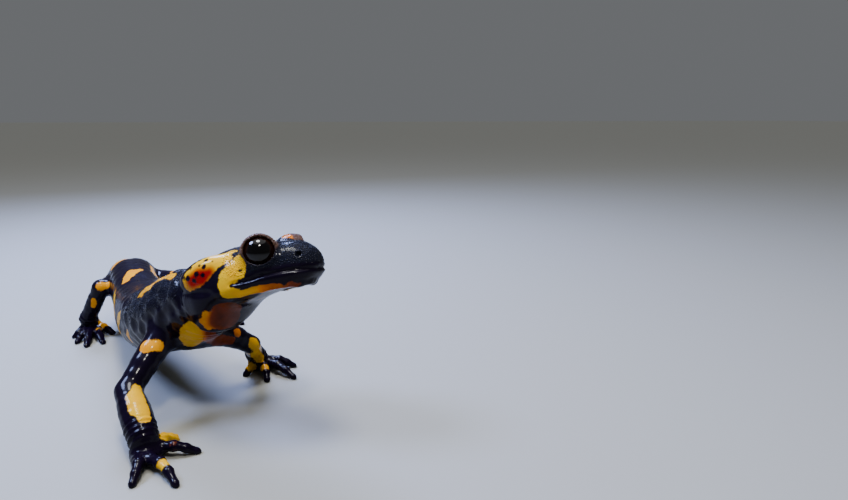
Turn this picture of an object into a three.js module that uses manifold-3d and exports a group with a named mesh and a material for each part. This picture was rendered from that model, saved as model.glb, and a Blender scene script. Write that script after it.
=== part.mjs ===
// Fire salamander (Salamandra salamandra), life size, standing with its head raised and turned.
// Millimetres, +Z up, floor at z = 0, +X roughly from the tail tip to the snout.
// The body is one lofted form along a bent middle line, and each limb is a lofted tube. Thin cuts of
// GAP part them into head, jaw, neck, chest, trunk, pelvis, tail lengths, limb lengths and eyes.
import * as THREE from 'three';
import { mergeVertices } from 'three/addons/utils/BufferGeometryUtils.js';
import Module from 'manifold-3d';

const wasm = await Module();
wasm.setup();

// ---------------------------------------------------------------- driving dimensions (mm, degrees)
const GAP = 0.3;                 // clear space between touching pieces
const HEAD_LENGTH = 28;          // snout tip to the back of the parotoid glands
const NECK_LENGTH = 8;           // from there to the middle of the shoulders
const TRUNK_LENGTH = 58;         // shoulders to hips
const TAIL_LENGTH = 80;          // hips to tail tip
const SOLE_FLAT = 0.25;          // how deep feet and tail are cut flat where they rest

const SNOUT = [19.4, 25.6, 32.8];                    // snout tip, seen from the shoulders' floor point
const HEAD_TURN = { yaw: 57.7, pitch: 16.6, roll: -11 };
const SHOULDER_HEADING = 30.9;   // which way the shoulders face
const TRUNK_TURN = 18.5;         // how much the trunk bends from shoulders to hips
const TAIL_BENDS = [[24, -80], [30, -10], [26, 90]];   // [length, turn] going back from the hips

// Head fittings in head axes: x forward from the snout tip, y left, z up.
const EYE = { radius: 2.9, back: 8.95, side: 4.9, up: 3.6 };
const ORBIT = { back: 9.1, side: 4.1, up: 3.5, long: 3.5, wide: 3.5 };     // rounded lid around the eye
const PAROTOID = { back: 20, side: 6.4, up: 1.9, splay: 3, droop: 12, size: [5.6, 2.9, 2.85] };
const JAW_RIDGE = {              // lower edge of the jaw on each side
  radius: 0.8,
  points: [
    [-3, 0.4, -3], [-3.9, 2.2, -3], [-5.5, 4.4, -2.8], [-9.3, 5.8, -2.8], [-13.1, 7, -2.85],
    [-16.2, 7.8, -2.4],
  ],
};
const MOUTH = { front: [1.2, -1.3], middle: [-6.5, -1.6], corner: [-13.8, -1.8], hinge: [-17.2, -4] };

// Body sections: distance from the snout tip, half width, height above and depth below the middle
// line, and on the head how far the widest line lies below the head's axis.
const HEAD_SECTIONS = [
  [0.0, 1.1, 1.0, 0.6, -0.3], [0.6, 2.3, 2.7, 1.2, -0.6], [1.7, 3.5, 4.35, 1.6, -1.1],
  [3.5, 4.9, 5.85, 2.15, -1.4], [6, 6.3, 6.5, 2.2, -1.5], [10, 7.7, 7.1, 1.75, -1.6],
  [14, 8.8, 7.7, 2.35, -1.7], [18, 9.0, 7.6, 3.4, -1.7], [22, 8.7, 6.2, 6.7, -1.6],
];
const BODY_SECTIONS = [
  [26, 7.3, 5.3, 8.2, -0.8], [31, 7.2, 5.9, 9.0, 0], [36, 8.0, 6.5, 8.8, 0], [46, 8.7, 6.8, 8.25, 0],
  [59, 7.9, 6.9, 8.05, 0], [74, 6.15, 6.8, 7.4, 0], [85, 6.0, 6.7, 6.7, 0], [94, 6.3, 6.45, 6.2, 0],
  [102, 5.5, 5.6, 5.2, 0], [113, 4.6, 4.8, 4.2, 0], [129, 3.8, 4.1, 3.5, 0], [149, 2.8, 3.2, 2.7, 0],
  [164, 1.9, 2.2, 1.9, 0], [171, 1.2, 1.4, 1.2, 0], [174, 0.5, 0.6, 0.6, 0],
];
const FULLNESS = 2.3;            // power of the section's outline: 2 is an ellipse, more is squarer
// Height of the middle line above the floor, from the shoulders back to where the tail lies down.
const LINE_HEIGHTS = [
  [36, 20.5], [50, 15.1], [65, 12.6], [80, 12.95], [94, 12.6], [102, 9.2], [111, 5.2], [120, 4.05],
];
const NECK_CURVE = { from: 23, to: 40 };      // leaves the head's axis, joins the trunk's line

// Joints, radii and digit tips of the limbs, seen from the shoulders' floor point. The root lies
// inside the body. Joints are the limb's start, its elbow or knee, and its wrist or ankle.
const LIMBS = {
  arm_right: {
    root: [1.5, -1.5, 17], joints: [[5, -4.6, 15.5], [12.5, -9.6, 8.8], [20.7, -6.1, 3.9]],
    upper: [3.2, 2.9, 2.15], lower: [2.1, 2.75, 2.6],
    palm: [22, -5.4], digits: [[16.8, -1.7], [22.1, 2.5], [31.4, 0.3], [29.6, -6.3]],
  },
  arm_left: {
    root: [1.5, 0.5, 15.2], joints: [[-2.3, 6.5, 13], [-5.2, 11.6, 8.9], [-12, 11.9, 4.3]],
    upper: [3.3, 2.8, 1.8], lower: [1.85, 1.9, 1.6],
    palm: [-13, 13.4], digits: [[-9.3, 10], [-5, 14.5], [-5, 20.2], [-11.5, 20.4]],
  },
  leg_right: {
    root: [-54.3, -21.5, 12.2], joints: [[-53.4, -25.2, 12], [-43.8, -27, 13.8], [-47.3, -31.9, 4.6]],
    upper: [3.3, 2.9, 2.0], lower: [1.9, 2.1, 1.9],
    palm: [-48.8, -31.4],
    digits: [[-45.3, -25.9], [-38.8, -26.8], [-37.4, -30.2], [-40.7, -33.2], [-45.3, -35]],
  },
  leg_left: {
    root: [-55, -17.5, 12], joints: [[-55.2, -14.4, 12], [-46.5, -6.4, 13.8], [-48, -0.8, 4.6]],
    upper: [3.3, 2.9, 2.2], lower: [2.0, 2.2, 1.9],
    palm: [-47, 0.6],
    digits: [[-41.5, -3], [-37, -0.2], [-36, 4.3], [-39.5, 7.2], [-45, 7.5]],
  },
};
const PALM = { wide: 3.1, high: 1.6, long: 2.7 };                 // half sizes
const WRIST_STUB = [2.2, 2.2, 1.3];                               // radii where hand or foot meets the limb
const DIGIT = { base: 1.25, middle: 1.0, tip: 0.75, arch: 0.9 };

// ---------------------------------------------------------------- numbers and directions
const radians = THREE.MathUtils.degToRad;
const flat = (angle) => new THREE.Vector3(Math.cos(radians(angle)), Math.sin(radians(angle)), 0);
const UP = new THREE.Vector3(0, 0, 1);
const clamp01 = (t) => Math.min(1, Math.max(0, t));
const smooth = (t) => clamp01(t) ** 2 * (3 - 2 * clamp01(t));

// A smooth curve through the rows [at, value, value...], with slopes from each row's neighbours.
function follow(rows, at) {
  const last = rows.length - 1;
  let i = 0;
  while (i < last - 1 && at > rows[i + 1][0]) i += 1;
  const slope = (k, column) => {
    const a = rows[Math.max(0, k - 1)];
    const b = rows[Math.min(last, k + 1)];
    return (b[column] - a[column]) / (b[0] - a[0]);
  };
  const span = rows[i + 1][0] - rows[i][0];
  const t = clamp01((at - rows[i][0]) / span);
  const h00 = (1 + 2 * t) * (1 - t) ** 2;
  const h10 = t * (1 - t) ** 2;
  const h01 = t * t * (3 - 2 * t);
  const h11 = t * t * (t - 1);
  return rows[i].slice(1).map((value, c) => h00 * value + h10 * span * slope(i, c + 1)
    + h01 * rows[i + 1][c + 1] + h11 * span * slope(i + 1, c + 1));
}

// ---------------------------------------------------------------- the middle line
const SHOULDERS_AT = HEAD_LENGTH + NECK_LENGTH;
const HIPS_AT = SHOULDERS_AT + TRUNK_LENGTH;
const TIP_AT = HIPS_AT + TAIL_LENGTH;

const turnAbout = (x, y, z, angle) => new THREE.Quaternion()
  .setFromAxisAngle(new THREE.Vector3(x, y, z), radians(angle));
const headTurn = turnAbout(0, 0, 1, HEAD_TURN.yaw)
  .multiply(turnAbout(0, 1, 0, -HEAD_TURN.pitch)).multiply(turnAbout(1, 0, 0, HEAD_TURN.roll));
const headAxis = (x, y, z) => new THREE.Vector3(x, y, z).applyQuaternion(headTurn);
const inHead = (x, y, z) => headAxis(x, y, z).add(new THREE.Vector3(...SNOUT));

// The floor trace of trunk and tail, walked back from the shoulders in short steps.
const STEP = 0.5;
const trace = [];
{
  const point = new THREE.Vector3();
  let heading = SHOULDER_HEADING;
  const bends = [[TRUNK_LENGTH, -TRUNK_TURN], ...TAIL_BENDS];
  trace.push({ point: point.clone(), heading });
  for (const [length, turn] of bends) {
    const steps = Math.round(length / STEP);
    for (let k = 0; k < steps; k += 1) {
      point.addScaledVector(flat(heading + turn / steps / 2), -STEP);
      heading += turn / steps;
      trace.push({ point: point.clone(), heading });
    }
  }
}

function lineHeight(at) {
  const laid = LINE_HEIGHTS[LINE_HEIGHTS.length - 1][0];
  if (at < laid) return follow(LINE_HEIGHTS, at)[0];
  return follow(BODY_SECTIONS, at)[2] - SOLE_FLAT;
}

function onTrace(at) {
  const place = Math.min(trace.length - 1.001, Math.max(0, (at - SHOULDERS_AT) / STEP));
  const i = Math.floor(place);
  const point = trace[i].point.clone().lerp(trace[i + 1].point, place - i);
  point.z = lineHeight(at);
  return point;
}

function linePoint(at) {
  const { from, to } = NECK_CURVE;
  if (at <= from) return inHead(-at, 0, 0);
  if (at >= to) return onTrace(at);
  const t = (at - from) / (to - from);
  const a = inHead(-from, 0, 0);
  const b = onTrace(to);
  const reach = a.distanceTo(b);
  const da = headAxis(-reach, 0, 0);
  const db = onTrace(to + 1).sub(b).multiplyScalar(reach);
  return a.multiplyScalar((1 + 2 * t) * (1 - t) ** 2).addScaledVector(da, t * (1 - t) ** 2)
    .addScaledVector(b, t * t * (3 - 2 * t)).addScaledVector(db, t * t * (t - 1));
}

// Middle point, forward, left and up directions at a distance from the snout tip.
function frameAt(at) {
  const e = 0.25;
  const a = linePoint(Math.max(0, at - e));
  const b = linePoint(Math.min(TIP_AT, at + e));
  const forward = a.sub(b).normalize();
  const share = smooth((at - NECK_CURVE.from) / (NECK_CURVE.to - NECK_CURVE.from));
  const up = headAxis(0, 0, 1).lerp(UP, share);
  up.addScaledVector(forward, -up.dot(forward)).normalize();
  const left = new THREE.Vector3().crossVectors(up, forward);
  return { point: linePoint(at), forward, left, up };
}

// ---------------------------------------------------------------- solids
// A closed mesh from rings of equally many points, capped with flat fans.
function skinRings(rings) {
  const sides = rings[0].length;
  const positions = rings.flat().flatMap((p) => [p.x, p.y, p.z]);
  const index = [];
  for (let r = 0; r < rings.length - 1; r += 1) {
    for (let k = 0; k < sides; k += 1) {
      const a = r * sides + k;
      const b = r * sides + ((k + 1) % sides);
      index.push(a, a + sides, b, b, a + sides, b + sides);
    }
  }
  for (const [ring, turn] of [[0, 1], [rings.length - 1, -1]]) {
    const middle = rings[ring].reduce((sum, p) => sum.add(p), new THREE.Vector3()).divideScalar(sides);
    const hub = positions.length / 3;
    positions.push(middle.x, middle.y, middle.z);
    for (let k = 0; k < sides; k += 1) {
      const a = ring * sides + k;
      const b = ring * sides + ((k + 1) % sides);
      if (turn > 0) index.push(hub, a, b);
      else index.push(hub, b, a);
    }
  }
  const geometry = new THREE.BufferGeometry();
  geometry.setAttribute('position', new THREE.Float32BufferAttribute(positions, 3));
  geometry.setIndex(index);
  return geometry;
}

function toSolid(geometry) {
  const bare = geometry.clone();
  for (const name of Object.keys(bare.attributes)) {
    if (name !== 'position') bare.deleteAttribute(name);
  }
  const merged = mergeVertices(bare, 1e-5);
  const mesh = new wasm.Mesh({
    numProp: 3,
    vertProperties: new Float32Array(merged.attributes.position.array),
    triVerts: new Uint32Array(merged.index.array),
  });
  return new wasm.Manifold(mesh);
}

function toGeometry(solid) {
  const mesh = solid.getMesh();
  const geometry = new THREE.BufferGeometry();
  geometry.setAttribute('position', new THREE.BufferAttribute(new Float32Array(mesh.vertProperties), 3));
  geometry.setIndex(new THREE.BufferAttribute(new Uint32Array(mesh.triVerts), 1));
  return geometry;
}

const joinAll = (solids) => solids.reduce((sum, solid) => sum.add(solid));

// Rounded body section: fuller than an ellipse, as flesh over ribs is.
const ALL_SECTIONS = [...HEAD_SECTIONS, ...BODY_SECTIONS];
function bodySection(at, sides, grow) {
  const { point, left, up } = frameAt(at);
  const [wide, high, deep, raise] = follow(ALL_SECTIONS, at);
  const ring = [];
  for (let k = 0; k < sides; k += 1) {
    const angle = (2 * Math.PI * k) / sides;
    const c = Math.cos(angle);
    const s = Math.sin(angle);
    const y = Math.sign(c) * Math.abs(c) ** (2 / FULLNESS) * (wide + grow);
    const z = Math.sign(s) * Math.abs(s) ** (2 / FULLNESS) * ((s > 0 ? high : deep) + grow);
    ring.push(point.clone().addScaledVector(left, y).addScaledVector(up, z + raise));
  }
  return ring;
}

function bodyLength(from, to, pieces, sides = 16, grow = 0) {
  const at = (k) => from + ((to - from) * k) / pieces;
  return skinRings(Array.from({ length: pieces + 1 }, (_, k) => bodySection(at(k), sides, grow)));
}

// A round tube along points with a radius at each, with flat ends square to the line.
function tube(points, radii, rings, sides) {
  const curve = new THREE.CatmullRomCurve3(points, false, 'centripetal');
  const rows = points.map((p, k) => [k / (points.length - 1), radii[k]]);
  const side = new THREE.Vector3();
  const out = [];
  for (let k = 0; k <= rings; k += 1) {
    const t = k / rings;
    const middle = curve.getPoint(t);
    const forward = curve.getTangent(t);
    const reference = Math.abs(forward.z) > 0.8 ? new THREE.Vector3(1, 0, 0) : UP;
    if (k === 0) side.crossVectors(reference, forward).normalize();
    side.addScaledVector(forward, -side.dot(forward)).normalize();
    const up = new THREE.Vector3().crossVectors(forward, side);
    const radius = follow(rows, t)[0];
    out.push(Array.from({ length: sides }, (_, j) => {
      const angle = (2 * Math.PI * j) / sides;
      return middle.clone().addScaledVector(side, radius * Math.cos(angle))
        .addScaledVector(up, radius * Math.sin(angle));
    }));
  }
  return skinRings(out.reverse());
}

function ellipsoid(size, turn, place, across = 12, down = 8) {
  const geometry = new THREE.SphereGeometry(1, across, down);
  geometry.rotateX(Math.PI / 2).scale(...size).applyQuaternion(turn);
  return geometry.translate(place.x, place.y, place.z);
}

// ---------------------------------------------------------------- finishes
const skinLook = new THREE.MeshStandardMaterial({ color: 0x17151c, roughness: 0.35, metalness: 0 });
const eyeLook = new THREE.MeshStandardMaterial({ color: 0x0a0706, roughness: 0.08, metalness: 0 });

const group = new THREE.Group();
function addNode(name, geometry, material = skinLook) {
  const mesh = new THREE.Mesh(geometry, material.clone());
  mesh.name = name;
  group.add(mesh);
}

// ---------------------------------------------------------------- floor
const FLOOR_SIZE = 400;
const floorBlock = new THREE.BoxGeometry(FLOOR_SIZE, FLOOR_SIZE, FLOOR_SIZE);
const underFloor = toSolid(floorBlock.translate(0, 0, -FLOOR_SIZE / 2));

// ---------------------------------------------------------------- head, jaw and eyes
const sides = { right: -1, left: 1 };
const noTurn = new THREE.Quaternion();

function headParts() {
  const bulges = [];
  const sockets = [];
  for (const [name, way] of Object.entries(sides)) {
    const eyeAt = inHead(-EYE.back, way * EYE.side, EYE.up);
    const orbitAt = inHead(-ORBIT.back, way * ORBIT.side, ORBIT.up);
    bulges.push(toSolid(ellipsoid([ORBIT.long, ORBIT.wide, ORBIT.wide], headTurn, orbitAt)));
    const splay = turnAbout(0, 0, 1, -way * PAROTOID.splay).multiply(turnAbout(0, 1, 0, -PAROTOID.droop));
    const glandAt = inHead(-PAROTOID.back, way * PAROTOID.side, PAROTOID.up);
    bulges.push(toSolid(ellipsoid(PAROTOID.size, headTurn.clone().multiply(splay), glandAt)));
    const ridge = JAW_RIDGE.points.map(([x, y, z]) => inHead(x, way * y, z));
    bulges.push(toSolid(tube(ridge, ridge.map(() => JAW_RIDGE.radius), 5, 5)));
    const grown = EYE.radius + GAP;
    sockets.push(toSolid(ellipsoid([grown, grown, grown], noTurn, eyeAt)));
    const ball = [EYE.radius, EYE.radius, EYE.radius];
    addNode(`eye_${name}`, ellipsoid(ball, noTurn, eyeAt), eyeLook);
  }
  const loft = toSolid(bodyLength(0, HEAD_LENGTH + 1, 17, 20));
  const whole = joinAll([loft, ...bulges]).subtract(joinAll(sockets));
  const { point, forward, left, up } = frameAt(HEAD_LENGTH);
  const ahead = new THREE.BoxGeometry(80, 80, 80).translate(40, 0, 0);
  ahead.applyMatrix4(new THREE.Matrix4().makeBasis(forward, left, up)).translate(point.x, point.y, point.z);
  return whole.intersect(toSolid(ahead));
}

// A block across the whole head, from an outline in its side plane [forward, up].
function headBlock(outline, reach) {
  const shape = new THREE.Shape(outline.map(([x, z]) => new THREE.Vector2(x, z)));
  const block = new THREE.ExtrudeGeometry(shape, { depth: 2 * reach, bevelEnabled: false });
  block.translate(0, 0, -reach).rotateX(Math.PI / 2);
  return block.applyQuaternion(headTurn).translate(...SNOUT);
}

// Everything below the mouth line and in front of the hinge, lowered by the given drop.
function belowMouth(drop) {
  const lip = new THREE.CatmullRomCurve3(
    [MOUTH.front, MOUTH.middle, MOUTH.corner, MOUTH.hinge].map(([x, z]) => new THREE.Vector3(x, z, 0)),
  ).getPoints(12).map((p) => [p.x, p.y - drop]);
  const floor = -30;
  const [backEdge, hingeHeight] = [MOUTH.hinge[0] + drop, MOUTH.hinge[1] - drop];
  const below = [[backEdge, hingeHeight], [backEdge - 1.5, floor], [MOUTH.front[0], floor]];
  return toSolid(headBlock([...lip.slice(0, -1), ...below].reverse(), 40));
}

const headWhole = headParts();
addNode('head', toGeometry(headWhole.subtract(belowMouth(0))));
addNode('jaw', toGeometry(headWhole.intersect(belowMouth(GAP))));

// ---------------------------------------------------------------- neck, trunk and tail
const BODY_NODES = [
  ['neck', HEAD_LENGTH, 34, 4], ['chest', 34, 46, 5], ['trunk_front', 46, 65, 6], ['trunk_rear', 65, 84, 6],
  ['pelvis', 84, 103, 6], ['tail_base', 103, 120, 6], ['tail_middle', 120, 139, 5],
  ['tail_rear', 139, 157, 5], ['tail_tip', 157, TIP_AT, 6],
];
for (const [name, from, to, pieces] of BODY_NODES) {
  const length = toSolid(bodyLength(from + GAP / 2, to === TIP_AT ? to : to - GAP / 2, pieces));
  addNode(name, toGeometry(name.startsWith('tail') ? length.subtract(underFloor) : length));
}

// ---------------------------------------------------------------- limbs
const bodyKeepOut = toSolid(bodyLength(18, 118, 40, 16, GAP));
const LIMB_NAMES = { arm: ['upper_arm', 'forearm', 'hand'], leg: ['thigh', 'shank', 'foot'] };

function footSolid(wrist, palm, tips) {
  const palmAt = new THREE.Vector3(palm[0], palm[1], PALM.high - SOLE_FLAT);
  const toes = tips.map(([x, y]) => new THREE.Vector3(x, y, 0));
  const ahead = toes.reduce((sum, p) => sum.add(p.clone().setZ(0)), new THREE.Vector3())
    .divideScalar(toes.length).sub(palmAt).setZ(0).normalize();
  const turn = new THREE.Quaternion().setFromUnitVectors(new THREE.Vector3(1, 0, 0), ahead);
  const across = new THREE.Vector3(0, 1, 0).applyQuaternion(turn);
  const pieces = [toSolid(ellipsoid([PALM.long, PALM.wide, PALM.high], turn, palmAt, 9, 5))];
  const heel = palmAt.clone().lerp(wrist, 0.15);
  pieces.push(toSolid(tube([wrist, wrist.clone().lerp(heel, 0.5), heel], WRIST_STUB, 2, 9)));
  for (const tip of toes) {
    tip.z = DIGIT.tip - SOLE_FLAT;
    const reach = tip.clone().sub(palmAt);
    const start = palmAt.clone().addScaledVector(reach, 0.08)
      .addScaledVector(across, 0.25 * reach.dot(across));
    start.z = DIGIT.base + 0.1;
    const knuckle = palmAt.clone().lerp(tip, 0.6);
    knuckle.z = DIGIT.middle + DIGIT.arch;
    const nail = tip.clone().addScaledVector(tip.clone().sub(knuckle).normalize(), DIGIT.tip * 0.8);
    const radii = [DIGIT.base, DIGIT.middle, DIGIT.tip, DIGIT.tip * 0.4];
    pieces.push(toSolid(tube([start, knuckle, tip, nail], radii, 4, 6)));
  }
  return joinAll(pieces).subtract(underFloor);
}

// The upper length with its rounded elbow or knee, from inside the body.
function upperLength(plan, grow) {
  const [root, start, bend] = [plan.root, ...plan.joints].map((p) => new THREE.Vector3(...p));
  const radii = plan.upper.map((radius) => radius + grow);
  const ball = radii[2];
  return toSolid(tube([root, start, bend], radii, 5, 10))
    .add(toSolid(ellipsoid([ball, ball, ball], noTurn, bend, 10, 6)));
}

function lowerLength(plan, grow, past) {
  const [, bend, end] = plan.joints.map((p) => new THREE.Vector3(...p));
  const middle = bend.clone().lerp(end, 0.45);
  const radii = plan.lower.map((radius) => radius + grow);
  return toSolid(tube([bend, middle, end.clone().lerp(bend, -past)], radii, 4, 10));
}

for (const [limb, plan] of Object.entries(LIMBS)) {
  const [kind, side] = limb.split('_');
  const names = LIMB_NAMES[kind].map((name) => `${name}_${side}`);
  const upper = upperLength(plan, 0).subtract(bodyKeepOut);
  const lower = lowerLength(plan, 0, 0).subtract(upperLength(plan, GAP)).subtract(bodyKeepOut);
  const foot = footSolid(new THREE.Vector3(...plan.joints[2]), plan.palm, plan.digits);
  addNode(names[0], toGeometry(upper));
  addNode(names[1], toGeometry(lower));
  addNode(names[2], toGeometry(foot.subtract(lowerLength(plan, GAP, 0.03))));
}

// ---------------------------------------------------------------- origin: middle of the box, on the floor
const box = new THREE.Box3().setFromObject(group, true);
const middle = box.getCenter(new THREE.Vector3());
group.position.set(-middle.x, -middle.y, -box.min.z);

export default group;
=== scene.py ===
"""A fire salamander standing still with its head raised, at life size."""

import math

import bpy
import numpy as np
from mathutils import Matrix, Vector


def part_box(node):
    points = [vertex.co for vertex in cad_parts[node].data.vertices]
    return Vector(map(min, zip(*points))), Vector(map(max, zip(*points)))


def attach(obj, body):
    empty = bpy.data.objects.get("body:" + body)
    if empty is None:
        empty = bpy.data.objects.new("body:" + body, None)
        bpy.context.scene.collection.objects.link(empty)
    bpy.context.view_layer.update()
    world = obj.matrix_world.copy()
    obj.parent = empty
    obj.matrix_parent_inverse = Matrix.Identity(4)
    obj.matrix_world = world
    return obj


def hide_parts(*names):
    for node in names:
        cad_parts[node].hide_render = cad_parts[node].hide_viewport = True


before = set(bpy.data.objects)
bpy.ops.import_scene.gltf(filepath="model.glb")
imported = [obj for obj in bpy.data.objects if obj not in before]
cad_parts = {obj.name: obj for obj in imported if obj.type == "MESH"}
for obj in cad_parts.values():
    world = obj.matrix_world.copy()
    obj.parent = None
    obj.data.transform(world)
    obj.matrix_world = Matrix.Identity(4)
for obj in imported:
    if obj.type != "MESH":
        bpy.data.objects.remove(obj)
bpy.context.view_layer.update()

MM = 0.001

# ---------------- driving dimensions (mm, degrees)
# Places on trunk and limbs are seen from the floor point under the shoulders, and places on the
# head in head axes: x forward from the snout tip, y left, z up.
HEAD_LENGTH = 28.0
NECK_LENGTH = 8.0
TRUNK_LENGTH = 58.0
TAIL_LENGTH = 80.0
SOLE_FLAT = 0.25

SNOUT = np.array([19.4, 25.6, 32.8])
HEAD_YAW, HEAD_PITCH, HEAD_ROLL = 57.7, 16.6, -11.0
SHOULDER_HEADING = 30.9
TRUNK_TURN = 18.5
TAIL_BENDS = [(24, -80), (30, -10), (26, 90)]
NECK_FROM, NECK_TO = 23.0, 40.0

EYE_RADIUS = 2.9
EYE_AT = np.array([-8.95, 4.9, 3.6])  # the left eye's middle
ORBIT_AT, ORBIT_SIZE = (-9.15, 4.8, 3.1), (3.4, 3.2, 3.2)
PAROTOID_AT, PAROTOID_SIZE = (-20.0, 6.4, 1.9), (5.6, 2.9, 2.85)
PAROTOID_SPLAY, PAROTOID_DROOP = 3.0, 12.0
# The edge of the lower jaw as balls (x, y, z, radius), from the chin to below the gland.
JAW_RIDGE = np.array([
    (-3.0, 0.4, -3.0, 0.8), (-3.9, 2.2, -3.0, 0.8), (-5.5, 4.4, -2.8, 0.8), (-9.3, 5.8, -2.8, 0.8),
    (-13.1, 7.0, -2.85, 0.8), (-16.2, 7.8, -2.4, 0.8),
])

# Distance from the snout tip, half width, height above and depth below the middle line, and how far
# the widest line lies below the head's axis.
SECTIONS = [
    (0.0, 1.1, 1.0, 0.6, -0.3), (0.6, 2.3, 2.7, 1.2, -0.6), (1.7, 3.5, 4.35, 1.6, -1.1),
    (3.5, 4.9, 5.85, 2.15, -1.4), (6, 6.3, 6.5, 2.2, -1.5), (10, 7.7, 7.1, 1.75, -1.6),
    (14, 8.8, 7.7, 2.35, -1.7), (18, 9.0, 7.6, 3.4, -1.7), (22, 8.7, 6.2, 6.7, -1.6),
    (26, 7.3, 5.3, 8.2, -0.8), (31, 7.2, 5.9, 9.0, 0), (36, 8.0, 6.5, 8.8, 0), (46, 8.7, 6.8, 8.25, 0),
    (59, 7.9, 6.9, 8.05, 0), (74, 6.15, 6.8, 7.4, 0), (85, 6.0, 6.7, 6.7, 0), (94, 6.3, 6.45, 6.2, 0),
    (102, 5.5, 5.6, 5.2, 0), (113, 4.6, 4.8, 4.2, 0), (129, 3.8, 4.1, 3.5, 0), (149, 2.8, 3.2, 2.7, 0),
    (164, 1.9, 2.2, 1.9, 0), (171, 1.2, 1.4, 1.2, 0), (174, 0.5, 0.6, 0.6, 0),
]
FULLNESS = 2.3
LINE_HEIGHTS = [
    (36, 20.5), (50, 15.1), (65, 12.6), (80, 12.95), (94, 12.6), (102, 9.2), (111, 5.2), (120, 3.6),
]

LIMBS = {
    "arm_right": dict(
        root=(1.5, -1.5, 17), joints=[(5, -4.6, 15.5), (12.5, -9.6, 8.8), (20.7, -6.1, 3.9)],
        upper=(3.2, 2.9, 2.15), lower=(2.1, 2.75, 2.6),
        palm=(22, -5.4), digits=[(16.8, -1.7), (22.1, 2.5), (31.4, 0.3), (29.6, -6.3)]),
    "arm_left": dict(
        root=(1.5, 0.5, 15.2), joints=[(-2.3, 6.5, 13), (-5.2, 11.6, 8.9), (-12, 11.9, 4.3)],
        upper=(3.3, 2.8, 1.8), lower=(1.85, 1.9, 1.6),
        palm=(-13, 13.4), digits=[(-9.3, 10), (-5, 14.5), (-5, 20.2), (-11.5, 20.4)]),
    "leg_right": dict(
        root=(-54.3, -21.5, 12.2), joints=[(-53.4, -25.2, 12), (-43.8, -27, 13.8), (-47.3, -31.9, 4.6)],
        upper=(3.3, 2.9, 2.0), lower=(1.9, 2.1, 1.9), palm=(-48.8, -31.4),
        digits=[(-45.3, -25.9), (-38.8, -26.8), (-37.4, -30.2), (-40.7, -33.2), (-45.3, -35)]),
    "leg_left": dict(
        root=(-55, -17.5, 12), joints=[(-55.2, -14.4, 12), (-46.5, -6.4, 13.8), (-48, -0.8, 4.6)],
        upper=(3.3, 2.9, 2.2), lower=(2.0, 2.2, 1.9), palm=(-47, 0.6),
        digits=[(-41.5, -3), (-37, -0.2), (-36, 4.3), (-39.5, 7.2), (-45, 7.5)]),
}
PALM_LONG, PALM_WIDE, PALM_HIGH = 2.7, 3.1, 1.6
DIGIT_BASE, DIGIT_MIDDLE, DIGIT_TIP, DIGIT_ARCH = 1.25, 1.0, 0.75, 0.9
WRIST_STUB = (2.2, 2.2, 1.3)
JOINT_SWELL = np.array([1.0, 1.07, 0.86, 1.07, 0.84, 1.08, 0.88, 1.02, 0.9])  # along a digit
LONG_DIGIT = 8.0  # a shorter digit's joints swell less
WRIST_CREASE, WRIST_PITCH = 0.13, 1.05
LIMB_BLEND, ELBOW_BLEND, WRIST_BLEND, PALM_BLEND, DIGIT_BLEND = 1.6, 1.2, 0.6, 1.2, 0.45
LIMB_ROOM = 6.0  # round the limb's joints, for its flesh

# ---------------- relief of the skin (mm)
INSET = 0.08  # how far the skin lies inside the solids
LEFT_GAZE = np.array([0.56, 0.83, 0.03])  # which way the left eye's opening faces
LID_WIDE, LID_HIGH = 2.62, 2.44  # half sizes of the opening between the lids
UPPER_LID, LOWER_LID = 0.38, 0.32
MOUTH_LINE = [
    (-17, -2.0), (-13.5, -1.1), (-10, -1.0), (-8.5, -0.75), (-5.8, -0.65), (-3.5, -0.75), (-1.7, -1.0),
    (0.5, -1.5),
]
NOSTRIL = (-2.35, 3.2, 1.75)
MOUTH_CLEFT, LIP_SWELL = 0.42, 0.1
LORE_HOLLOW, GLAND_FOLD, GLAND_HOLLOW = 0.3, 0.2, 0.4
JAW_GROOVE, THROAT_FOLD, THROAT_SWELL = 0.3, 0.5, 0.12
COSTAL_GROOVE, COSTAL_PITCH = 0.12, 4.3
TAIL_RING, TAIL_PITCH = 0.16, 3.4
NECK_FOLD, NECK_PITCH = 0.08, 2.6
# Where each lies: station of its start, length of its rise, station of its end, length of its fall.
RIBS, RINGS, FOLDS, FURROW = (41, 5, 92, 5), (100, 8, 168, 20), (23, 3, 34, 5), (34, 8, 150, 30)
LUMP, LUMP_ACROSS = 0.22, 3.4
WRINKLE, WRINKLE_ACROSS = 0.04, 1.7
BACK_FURROW = 0.15
RIPPLE_WAYS = [(0, 1, 1.6), (0, 1, -1.6), (1, 1.6, 0), (1, -1.6, 0), (1.6, 0, 1), (-1.6, 0, 1)]


# ---------------- numbers and directions
def follow(rows, at):
    """A smooth curve through rows (at, value, value...), with slopes from each row's neighbours."""
    rows = np.array(rows, float)
    knots, values = rows[:, 0], rows[:, 1:]
    last = len(knots) - 1
    before, after = np.maximum(np.arange(last + 1) - 1, 0), np.minimum(np.arange(last + 1) + 1, last)
    slopes = (values[after] - values[before]) / (knots[after] - knots[before])[:, None]
    at = np.atleast_1d(np.asarray(at, float))
    i = np.clip(np.searchsorted(knots, at, side="right") - 1, 0, last - 1)
    span = (knots[i + 1] - knots[i])[:, None]
    t = np.clip((at[:, None] - knots[i][:, None]) / span, 0, 1)
    return ((1 + 2 * t) * (1 - t) ** 2 * values[i] + t * (1 - t) ** 2 * span * slopes[i]
            + t * t * (3 - 2 * t) * values[i + 1] + t * t * (t - 1) * span * slopes[i + 1])


def smooth(t):
    t = np.clip(t, 0, 1)
    return t * t * (3 - 2 * t)


def between(x, start, rise, end, fall):
    """1 between start and end, easing up after the one and down before the other."""
    return smooth((x - start) / rise) * smooth((end - x) / fall)


def unit(v):
    return v / np.linalg.norm(v, axis=-1, keepdims=True)


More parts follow.
